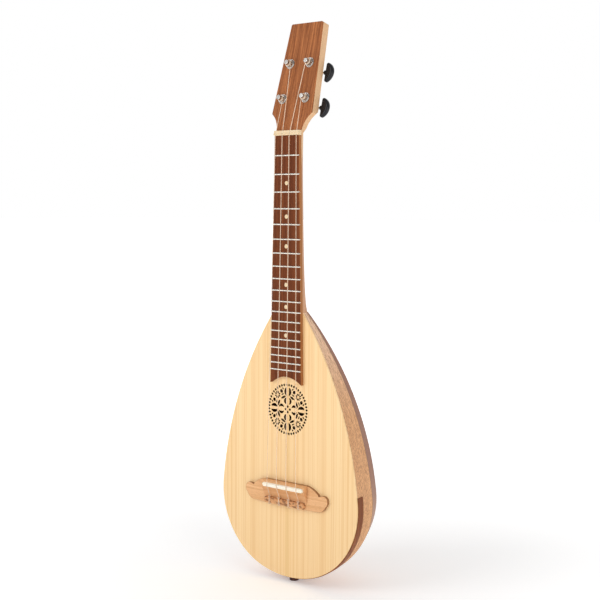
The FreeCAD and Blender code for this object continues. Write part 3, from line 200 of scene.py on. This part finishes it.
def spruce(name):
    """Straight-grained spruce, bookmatched at x = 0, with a darker band along the centre seam."""
    pale, dark = (0.93, 0.67, 0.365), (0.80, 0.49, 0.215)
    paint = wood_shader(name)
    x, y, z = paint.axes()
    distance = paint.math("ABSOLUTE", x)
    sway = paint.noise(paint.join(paint.times(distance, 9), 0.0, paint.times(z, 3)))
    across = paint.plus(distance, paint.times(sway, 0.006))
    drift = paint.noise(paint.join(paint.times(across, 55), 0.0, 0.4), detail=1)
    phase = paint.plus(paint.times(across, 4700), paint.times(drift, 34))
    rings = paint.math("SINE", phase)
    late = paint.between(rings, 0.1, 1.0)
    strength = paint.between(drift, 0.25, 0.75, 0.25, 0.75)
    fibre_place = paint.join(paint.times(across, 2400), paint.times(y, 300), paint.times(z, 16))
    fibre = paint.noise(fibre_place, detail=2)
    band_place = paint.join(paint.times(across, 620), 0.3, paint.times(z, 1.5))
    bands = paint.noise(band_place, detail=2, roughness=0.6)
    cloud = paint.noise(paint.join(paint.times(across, 38), 0.0, paint.times(z, 2.2)))
    colour = paint.mix(paint.times(late, strength), pale, dark)
    colour = paint.mix(paint.between(fibre, 0.3, 0.75, 0.0, 0.22), colour, dark)
    colour = paint.mix(paint.between(bands, 0.42, 0.66, 0.0, 0.75), colour, dark)
    colour = paint.mix(paint.between(cloud, 0.3, 0.7, 0.0, 0.2), colour, (0.98, 0.76, 0.47))
    seam = paint.between(distance, 0.0005, 0.0062, 0.55, 0.0)
    colour = paint.mix(seam, colour, (0.80, 0.52, 0.22))
    line = paint.between(distance, 0.00004, 0.0003, 0.35, 0.0)
    colour = paint.mix(line, colour, (0.50, 0.28, 0.11))
    # painted shade: the rose's hole walls go near black, scorch and the shade of the hollow body together
    colour = paint.mix(rose_walls(paint), colour, (0.012, 0.006, 0.004))
    height = paint.plus(paint.times(late, 0.6), fibre)
    paint.set(Base_Color=colour, Normal=paint.bump(height, 0.00004, 0.5))
    paint.set(Roughness=paint.between(fibre, 0.2, 0.8, 0.38, 0.5))
    return paint.material


def streaked(paint, along, across, pale, dark, pore, shortness=1.0):
    """Streaks and short dark pores of an open-grained wood, and their height."""
    wander = paint.noise(paint.join(paint.times(along, 14), paint.times(across, 40)))
    side = paint.plus(across, paint.times(wander, 0.006))
    streak_place = paint.join(paint.times(along, 5 * shortness), paint.times(side, 420))
    streaks = paint.noise(streak_place, detail=4, roughness=0.6)
    broad_place = paint.join(paint.times(along, 3 * shortness), paint.times(side, 85))
    broad = paint.noise(broad_place, detail=2)
    pore_place = paint.join(paint.times(along, 170), paint.times(side, 3000))
    pores = paint.between(paint.noise(pore_place, detail=2), 0.57, 0.68)
    colour = paint.mix(paint.between(streaks, 0.32, 0.68), pale, dark)
    colour = paint.mix(paint.between(broad, 0.35, 0.65, 0.0, 0.45), colour, dark)
    colour = paint.mix(paint.times(pores, 0.6), colour, pore)
    height = paint.math("SUBTRACT", streaks, pores)
    return colour, height


def upright_wood(name, pale, dark, pore, roughness=0.5, coat=0.02, lean=0.0, shortness=1.0, side=None):
    """Wood whose grain runs up the instrument, or leans back with its head. A greater shortness makes
    shorter streaks, and a side colour is painted light that brightens the faces looking left and right."""
    paint = wood_shader(name, roughness, coat)
    x, y, z = paint.axes()
    depth = paint.math("SUBTRACT", paint.times(y, math.cos(lean)), paint.times(z, math.sin(lean)))
    across = paint.plus(x, paint.times(depth, GRAIN_SLANT))
    colour, height = streaked(paint, z, across, pale, dark, pore, shortness)
    # painted light: faces that look left and right are lightened towards the side colour
    if side:
        colour = paint.mix(paint.between(paint.facing(0), 0.7, 0.95, 0.0, 0.55), colour, side)
    paint.set(Base_Color=colour, Normal=paint.bump(height, 0.00006, 0.6))
    return paint.material


def rib_axes(paint, number):
    """Distances along and across a rib, in metres, and the angle round the bowl from its middle."""
    turn = math.radians(RIB_STEP * (number - 0.5))
    x, y, z = paint.axes()
    depth = paint.plus(y, (PIN_DEPTH - BOARD_THICKNESS) * MM)
    cosine, sine = math.cos(turn), math.sin(turn)
    outward = paint.plus(paint.times(x, cosine), paint.times(depth, sine))
    across = paint.math("SUBTRACT", paint.times(depth, cosine), paint.times(x, sine))
    rise = paint.math("SUBTRACT", z, BELLY_HEIGHT * MM)
    along = paint.times(paint.math("ARCTAN2", rise, outward), BEND_RADIUS * MM)
    return along, across, paint.math("ARCTAN2", across, outward)


def rib_wood(number, pale, dark, pore, paler_colour, paling_start, paling_end, flecked):
    """A rib's wood: the grain follows the bent stave, and a thin glue line shows at both edges.
    It pales towards another colour between two heights, given in metres above the floor; on the brown
    ribs this paler colour is a painted reflection."""
    paint = wood_shader(f"rib_wood_{number}")
    along, across, angle = rib_axes(paint, number)
    shifted = paint.plus(along, number * 0.37)
    colour, height = streaked(paint, shifted, across, pale, dark, pore)
    # paler between two heights; on the brown ribs this is a painted reflection
    colour = paint.mix(paint.between(paint.axes()[2], paling_start, paling_end, 0.0, 0.55), colour, paler_colour)
    if flecked:
        fleck_place = paint.join(paint.times(shifted, 260), paint.times(across, 1150))
        flecks = paint.noise(fleck_place, detail=2, distortion=0.8)
        colour = paint.mix(paint.between(flecks, 0.48, 0.6, 0.0, 0.62), colour, pore)
        colour = paint.mix(paint.between(flecks, 0.46, 0.34, 0.0, 0.5), colour, pale)
        height = paint.plus(height, flecks)
    edge = paint.math("ABSOLUTE", angle)
    limit = math.radians(RIB_STEP / 2)
    glue = paint.between(edge, limit - 0.006, limit - 0.001)
    colour = paint.mix(paint.times(glue, 0.7), colour, (0.06, 0.025, 0.012))
    paint.set(Base_Color=colour, Normal=paint.bump(height, 0.00005, 0.5))
    return paint.material


def side_grain(paint, pale, dark, pore):
    """Colour and height of wood whose grain runs from left to right."""
    x, y, z = paint.axes()
    return streaked(paint, x, paint.plus(z, paint.times(y, GRAIN_SLANT)), pale, dark, pore)


def bridge_dark_edges(paint):
    """How much darker the bridge is made: on the wings only, along their edges and on their walls."""
    wall = paint.between(paint.facing(1), 0.2, 0.7, 0.7, 0.0)
    rounded = paint.node("Bevel", {"Radius": DARK_EDGE_RADIUS * MM}, samples=8).outputs[0]
    flat = paint.node("NewGeometry").outputs["Normal"]
    bend = paint.node("VectorMath", {0: rounded, 1: flat}, operation="DOT_PRODUCT").outputs["Value"]
    edge = paint.between(bend, 0.99, 0.90, 0.0, 0.5)
    above_wings = (-PIN_DEPTH - WING_THICKNESS - 0.7) * MM
    on_wings = paint.between(paint.axes()[1], above_wings, above_wings + 0.5 * MM)
    return paint.times(paint.math("MAXIMUM", wall, edge), on_wings)


def bridge_wood(name):
    """Pinkish tan wood with side grain. The wings are darker along their edges and on their walls, and
    the raised middle is browner, most of all where it slopes down from the saddle."""
    paint = wood_shader(name)
    _, y, z = paint.axes()
    colour, height = side_grain(paint, (0.86, 0.51, 0.265), (0.71, 0.38, 0.17), (0.44, 0.19, 0.075))
    above_wings = (-PIN_DEPTH - WING_THICKNESS - 0.1) * MM
    raised = paint.between(y, above_wings, above_wings - 1 * MM)
    saddle = (NUT_HEIGHT + SADDLE_CORNER) * MM
    slope = paint.between(z, saddle - 2 * MM, saddle + 2 * MM, 0.5, 0.12)
    colour = paint.mix(paint.times(raised, slope), colour, (0.58, 0.27, 0.11))
    # the wings are darkened along their edges and on their walls
    colour = paint.mix(bridge_dark_edges(paint), colour, (0.20, 0.08, 0.03))
    paint.set(Base_Color=colour, Normal=paint.bump(height, 0.00005, 0.5))
    return paint.material


def tie_wood(name):
    """Brown wood mottled darker where the strings and the varnish have marked it."""
    paint = wood_shader(name)
    colour, height = side_grain(paint, (0.78, 0.42, 0.20), (0.60, 0.28, 0.115), (0.16, 0.06, 0.025))
    spots = paint.noise(paint.stretched((230, 300, 300)), detail=2, distortion=0.6)
    colour = paint.mix(paint.between(spots, 0.46, 0.6, 0.0, 0.75), colour, (0.17, 0.065, 0.03))
    paint.set(Base_Color=colour, Normal=paint.bump(height, 0.00006, 0.6))
    return paint.material


def bone(name, colour):
    """Polished bone with faint warm streaks."""
    paint = Paint(name, Roughness=0.28, Subsurface_Weight=0.15, Subsurface_Scale=0.002)
    paint.set(Subsurface_Radius=(1.0, 0.7, 0.4))
    streaks = paint.noise(paint.stretched((60, 700, 700)), detail=3)
    shade = tuple(part * tint for part, tint in zip(colour, (0.86, 0.80, 0.70)))
    paint.set(Base_Color=paint.mix(paint.between(streaks, 0.4, 0.75, 0.0, 0.7), colour, shade))
    paint.set(Normal=paint.bump(streaks, 0.00002, 0.3))
    return paint.material


def metal(name, colour, roughness):
    """Plated metal: fine polishing marks and a little tarnish in patches."""
    paint = Paint(name, Metallic=1.0)
    marks = paint.noise(paint.stretched((900, 900, 900)), detail=4)
    patches = paint.noise(paint.stretched((180, 180, 180)), detail=2)
    tarnish = tuple(part * 0.7 for part in colour)
    paint.set(Base_Color=paint.mix(paint.between(patches, 0.55, 0.8, 0.0, 0.5), colour, tarnish))
    paint.set(Roughness=paint.between(patches, 0.3, 0.8, roughness, roughness + 0.08))
    paint.set(Normal=paint.bump(marks, 0.00001, 0.25))
    return paint.material


def gloss_plastic(name, colour):
    """Moulded plastic polished to a gloss, with faint ripples."""
    paint = Paint(name, Base_Color=colour, Specular_IOR_Level=0.2, Coat_Weight=0.08, Coat_Roughness=0.08)
    ripples = paint.noise(paint.stretched((260, 260, 260)), detail=2)
    paint.set(Roughness=paint.between(ripples, 0.2, 0.8, 0.12, 0.24))
    paint.set(Normal=paint.bump(ripples, 0.00004, 0.35))
    return paint.material


def nylon(name):
    """Clear nylon string: pale and warm, with what lies behind it showing through."""
    paint = Paint(name, Roughness=0.25, Specular_IOR_Level=0.3, Alpha=0.6)
    x, _, z = paint.axes()
    bands = paint.noise(paint.join(paint.times(x, 900), 0.0, paint.times(z, 60)))
    colour = paint.mix(paint.between(bands, 0.3, 0.7), (0.95, 0.76, 0.58), (0.86, 0.66, 0.48))
    paint.set(Base_Color=colour)
    return paint.material


def turned_wood(name):
    """Very dark polished wood with fine upright pores."""
    paint = wood_shader(name, 0.25, 0.5)
    x, y, z = paint.axes()
    blackish = ((0.12, 0.030, 0.018), (0.055, 0.014, 0.009), (0.02, 0.006, 0.004))
    colour, height = streaked(paint, z, paint.plus(x, y), *blackish)
    paint.set(Base_Color=colour, Normal=paint.bump(height, 0.00003, 0.4))
    return paint.material


def wear(node_names, material):
    """Gives CAD nodes a material."""
    for name in node_names:
        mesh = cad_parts[name].data
        mesh.materials.clear()
        mesh.materials.append(material)


def numbered(stem, count):
    return [f"{stem}_{number}" for number in range(1, count + 1)]


def paint_ribs():
    """Flecked tan ribs and brown ribs in turn: the tan ones pale towards the neck, and the brown ones
    towards the tail, where the paler colour is a painted reflection."""
    tan = ((0.83, 0.465, 0.23), (0.65, 0.335, 0.155), (0.30, 0.12, 0.05), (0.99, 0.76, 0.58))
    brown = ((0.33, 0.122, 0.050), (0.21, 0.070, 0.027), (0.09, 0.028, 0.012), (0.66, 0.44, 0.33))
    for number in range(1, RIB_COUNT + 1):
        if number % 2 == 1:
            material = rib_wood(number, *tan, paling_start=0.20, paling_end=0.33, flecked=True)
        else:
            # painted reflection: the brown ribs turn pale pinkish towards the tail
            material = rib_wood(number, *brown, paling_start=0.16, paling_end=0.05, flecked=False)
        wear([f"rib_{number}"], material)


def paint_nodes():
    """Gives every CAD node its material."""
    wear(["soundboard_left", "soundboard_right"], spruce("spruce_front"))
    braces = ["upper_brace", "rose_brace", "bridge_brace", "tail_brace"]
    wear(braces, upright_wood("spruce_bars", (0.72, 0.50, 0.28), (0.60, 0.38, 0.18), (0.4, 0.22, 0.1)))
    paint_ribs()
    red_walnut = ((0.32, 0.098, 0.020), (0.185, 0.046, 0.008), (0.07, 0.017, 0.005))
    wear(["capping_strip"], upright_wood("walnut_strip", *red_walnut))
    mahogany = ((0.42, 0.22, 0.12), (0.32, 0.15, 0.08), (0.18, 0.08, 0.04))
    blocks = upright_wood("mahogany_blocks", *mahogany, roughness=0.7, coat=0.0)
    wear(["neck_block", "tail_block", "bridge_plate"], blocks)
    maple = ((0.73, 0.48, 0.285), (0.64, 0.39, 0.21), (0.46, 0.25, 0.12))
    wear(["headstock"], upright_wood("maple_head", *maple, lean=HEAD_TILT))
    brown_maple = ((0.56, 0.31, 0.175), (0.47, 0.24, 0.13), (0.34, 0.155, 0.08))
    wear(["neck"], upright_wood("maple_neck", *brown_maple))
    walnut = ((0.52, 0.185, 0.060), (0.22, 0.063, 0.017), (0.06, 0.016, 0.006))
    wear(["headplate"], upright_wood("walnut_headplate", *walnut, lean=HEAD_TILT, shortness=3.0))
    dark_walnut = ((0.235, 0.062, 0.015), (0.115, 0.025, 0.005), (0.03, 0.007, 0.002))
    # the side colour is painted light on the fingerboard's left and right faces
    board = upright_wood("walnut_fingerboard", *dark_walnut, roughness=0.6, side=(0.50, 0.22, 0.075))
    wear(["fingerboard"], board)
    wear(["nut", "fret_dots"], bone("bone_nut", (0.77, 0.60, 0.38)))
    wear(["saddle"], bone("bone_saddle", (0.97, 0.90, 0.76)))
    wear(["bridge"], bridge_wood("bridge_wood"))
    wear(["tie_block"], tie_wood("tie_wood"))
    wear(["end_pin"], turned_wood("end_pin_wood"))
    wear(["frets"], metal("nickel_silver", (0.78, 0.75, 0.68), 0.22))
    chrome = metal("chrome", (0.60, 0.58, 0.55), 0.2)
    plated = numbered("machine_plate", 4) + numbered("string_post", 4) + numbered("worm", 4)
    wear(plated + numbered("wheel_screw", 4) + ["post_bushings", "plate_screws"], chrome)
    wear(numbered("worm_wheel", 4), metal("brass", (0.78, 0.56, 0.24), 0.25))
    wear(numbered("tuning_button", 4), gloss_plastic("black_plastic", (0.012, 0.012, 0.015)))


# ---------------------------------------------------------------- strings


def cord_piece(name, points, radius, material):
    """A round cord through its points, in the row frame."""
    curve = bpy.data.curves.new(name, "CURVE")
    curve.dimensions = "3D"
    curve.bevel_depth = radius * MM
    curve.bevel_resolution = 4
    curve.use_fill_caps = True
    curve.resolution_u = 4
    spline = curve.splines.new("NURBS")
    spline.points.add(len(points) - 1)
    for target, point in zip(spline.points, points):
        target.co = (*point, 1)
    spline.order_u = 3
    spline.use_endpoint_u = True
    curve.materials.append(material)
    piece = bpy.data.objects.new(name, curve)
    bpy.context.scene.collection.objects.link(piece)
    return piece


def tie_points(low, radius):
    """The knot at the tie block: back over the block, round the string in front of it, and tucked in."""
    top = -TIE_TOP - radius
    middle = (TIE_TAIL + TIE_FRONT) / 2
    return [
        row(low + 3.0, top + 1.4, TIE_TAIL - 0.5),
        row(low + 2.7, top - 0.1, TIE_TAIL + 0.5),
        row(low + 2.3, top - 0.35, middle),
        row(low + 1.5, top - 0.3, TIE_FRONT + 0.2),
        row(low - 0.2, top - 0.2, TIE_FRONT + 1.5),
        row(low - 1.3, top + 0.8, TIE_FRONT + 1.7),
        row(low - 1.1, top + 2.2, TIE_FRONT + 1.4),
        row(low + 0.4, top + 2.9, TIE_FRONT + 1.1),
        row(low + 1.5, top + 1.8, TIE_FRONT + 0.8),
        row(low + 1.2, top + 0.1, TIE_FRONT + 0.4),
        row(low + 0.8, top - 0.1, middle),
        row(low + 0.4, top, TIE_TAIL + 0.6),
        row(low + 0.2, top + 0.7, TIE_TAIL - 0.9),
        row(low, -TIE_HOLE - 0.6, TIE_TAIL - 1.0),
        row(low, -TIE_HOLE, TIE_TAIL + 0.2),
        row(low, -TIE_HOLE, middle),
        row(low, -TIE_HOLE, TIE_FRONT + 0.4),
    ]


def coil_points(number, nut_point):
    """The string's turns round its post, ending at the mouth of the post's eye."""
    side, level = STRING_POSTS[number]
    radius = STRING_RADII[number]
    across, rise = POSTS[level]
    centre = Vector((side * across, rise))
    depth = -SLEEVE_FRONT - SLEEVE_GAP - radius
    reach = POST_RADIUS + radius + POST_GAP
    way = centre - nut_point
    swing = math.asin(reach / way.length)
    bearing = math.atan2(way.x, way.y) - side * swing
    first = math.atan2(math.sin(bearing) * side, -math.cos(bearing) * side)
    pitch = 2 * radius + TURN_GAP
    # The cord stays level for its first quarter turn and then climbs one pitch each turn.
    flat_turn = 0.25
    turns = FULL_TURNS + (first if side < 0 else math.pi - first) / math.tau
    steps = round(turns * STEPS_EACH_TURN)
    points = []
    for step in range(steps + 1):
        turned = step / STEPS_EACH_TURN
        angle = first - side * math.tau * turned
        spot = centre + reach * Vector((math.cos(angle), math.sin(angle)))
        points.append(head_row(spot.x, depth - pitch * max(0.0, turned - flat_turn), spot.y))
    top = depth - pitch * (turns - flat_turn)
    for lift in (0.6, 0.85, 1.0):
        points.append(head_row(spot.x, top + (-EYE_HEIGHT - top) * lift, spot.y))
    return points


def make_strings():
    """Four strings from their knots at the tie block to their coils on the posts."""
    material = nylon("nylon_string")
    for number, radius in enumerate(STRING_RADII):
        place = number - 1.5
        low = place * SADDLE_SPACING
        high = place * NUT_SPACING
        saddle = Vector((low, -SADDLE_TOP - radius - SADDLE_GAP, SADDLE_CORNER))
        nut = Vector((high, -NUT_GROOVE - radius, 0.0))
        run = (nut - saddle).normalized()
        points = tie_points(low, radius)
        slope = (saddle - Vector((low, -TIE_HOLE, TIE_FRONT))).normalized()
        bend = [saddle - slope * 2, saddle + Vector((0, -0.15, 0)), saddle + run * 2]
        straight = [saddle + run * 30, nut - run * 30, nut - run * 3, nut]
        points += [row(*point) for point in bend + straight]
        nut_on_head = Vector((high, NUT_THICKNESS * -math.sin(HEAD_TILT)))
        coil = coil_points(number, nut_on_head)
        points.append(row(*nut) + (coil[0] - row(*nut)) * 0.05)
        points.append(coil[0] + (row(*nut) - coil[0]) * 0.08)
        piece = cord_piece(f"string_cord_{number + 1}", points + coil, radius, material)
        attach(piece, "instrument")
        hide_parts(f"string_{number + 1}")


# ---------------------------------------------------------------- room


def make_floor():
    """A wide pale floor under the end pin. It glows a little, more so farther off, so that the
    shadows stay soft and its far edge melts into the room behind the instrument."""
    half = 40.0
    corners = [(-half, -half, 0), (half, -half, 0), (half, half, 0), (-half, half, 0)]
    mesh = bpy.data.meshes.new("floor")
    mesh.from_pydata(corners, [], [(0, 1, 2, 3)])
    floor = bpy.data.objects.new("floor", mesh)
    bpy.context.scene.collection.objects.link(floor)
    paint = Paint("floor_paint", Roughness=0.9, Specular_IOR_Level=0.0, Base_Color=(0.93, 0.93, 0.93))
    x, y, _ = paint.axes()
    glow = paint.between(paint.length(x, y), 0.05, 1.2, 0.25, 0.65)
    paint.set(Emission_Color=(1, 1, 1), Emission_Strength=glow)
    mesh.materials.append(paint.material)


def make_light(name, place, target, width, height, power, colour=(1, 1, 1)):
    """A rectangular lamp that shines from its place at a target, in metres and watts."""
    light = bpy.data.lights.new(name, "AREA")
    light.shape = "RECTANGLE"
    light.size, light.size_y = width, height
    light.energy = power
    light.color = colour
    lamp = bpy.data.objects.new(name, light)
    bpy.context.scene.collection.objects.link(lamp)
    lamp.location = place
    lamp.rotation_mode = "QUATERNION"
    lamp.rotation_quaternion = (Vector(target) - Vector(place)).to_track_quat("-Z", "Y")


def make_room():
    """Walls that are white behind the instrument and dimmer in front of it."""
    world = bpy.data.worlds.new("white_room")
    world.use_nodes = True
    background = next(node for node in world.node_tree.nodes if node.type == "BACKGROUND")
    background.inputs["Color"].default_value = (1.0, 1.0, 1.0, 1)
    tree = world.node_tree
    place = tree.nodes.new("ShaderNodeTexCoord")
    away = tree.nodes.new("ShaderNodeVectorMath")
    away.operation = "DOT_PRODUCT"
    away.inputs[1].default_value = (-0.65, 0.76, 0.0)
    shade = tree.nodes.new("ShaderNodeMapRange")
    shade.interpolation_type = "SMOOTHSTEP"
    for name, value in (("From Min", 0.1), ("From Max", 0.8), ("To Min", 0.45), ("To Max", 1.0)):
        shade.inputs[name].default_value = value
    tree.links.new(place.outputs["Generated"], away.inputs[0])
    tree.links.new(away.outputs["Value"], shade.inputs["Value"])
    tree.links.new(shade.outputs[0], background.inputs["Strength"])
    bpy.context.scene.world = world


def make_lights():
    """Large soft lights at the front left and at the right, and a weak one behind."""
    middle = (0.0, 0.0, 0.33)
    make_light("key", (-0.9, -2.2, 1.5), middle, 1.6, 1.6, 23)
    make_light("fill", (2.5, -0.9, 0.9), middle, 1.6, 1.6, 16)
    make_light("rim", (2.0, 1.2, 0.5), (0.05, 0.05, 0.2), 0.5, 1.6, 4, (0.93, 0.96, 1.0))


def make_camera():
    """The camera at the front right, a little above the middle and tilted down to it."""
    place = (0.99206, -1.15581, 0.46683)
    yaw, pitch, roll = math.radians(40.44), math.radians(4.236), math.radians(0.33)
    level = math.cos(pitch)
    forward = Vector((-math.sin(yaw) * level, math.cos(yaw) * level, -math.sin(pitch)))
    right = Vector((math.cos(yaw), math.sin(yaw), 0.0))
    up = right.cross(forward)
    leaning_right = right * math.cos(roll) + up * math.sin(roll)
    leaning_up = up * math.cos(roll) - right * math.sin(roll)
    camera = bpy.data.cameras.new("camera")
    camera.sensor_width = 36.0
    camera.lens = 73.84
    camera.clip_start, camera.clip_end = 0.05, 200.0
    stand = bpy.data.objects.new("camera", camera)
    bpy.context.scene.collection.objects.link(stand)
    axes = Matrix((leaning_right, leaning_up, -forward)).transposed()
    stand.matrix_world = Matrix.Translation(place) @ axes.to_4x4()
    bpy.context.scene.camera = stand


bpy.context.scene.view_settings.view_transform = "Standard"
make_camera()
paint_nodes()
make_strings()
make_floor()
make_room()
make_lights()
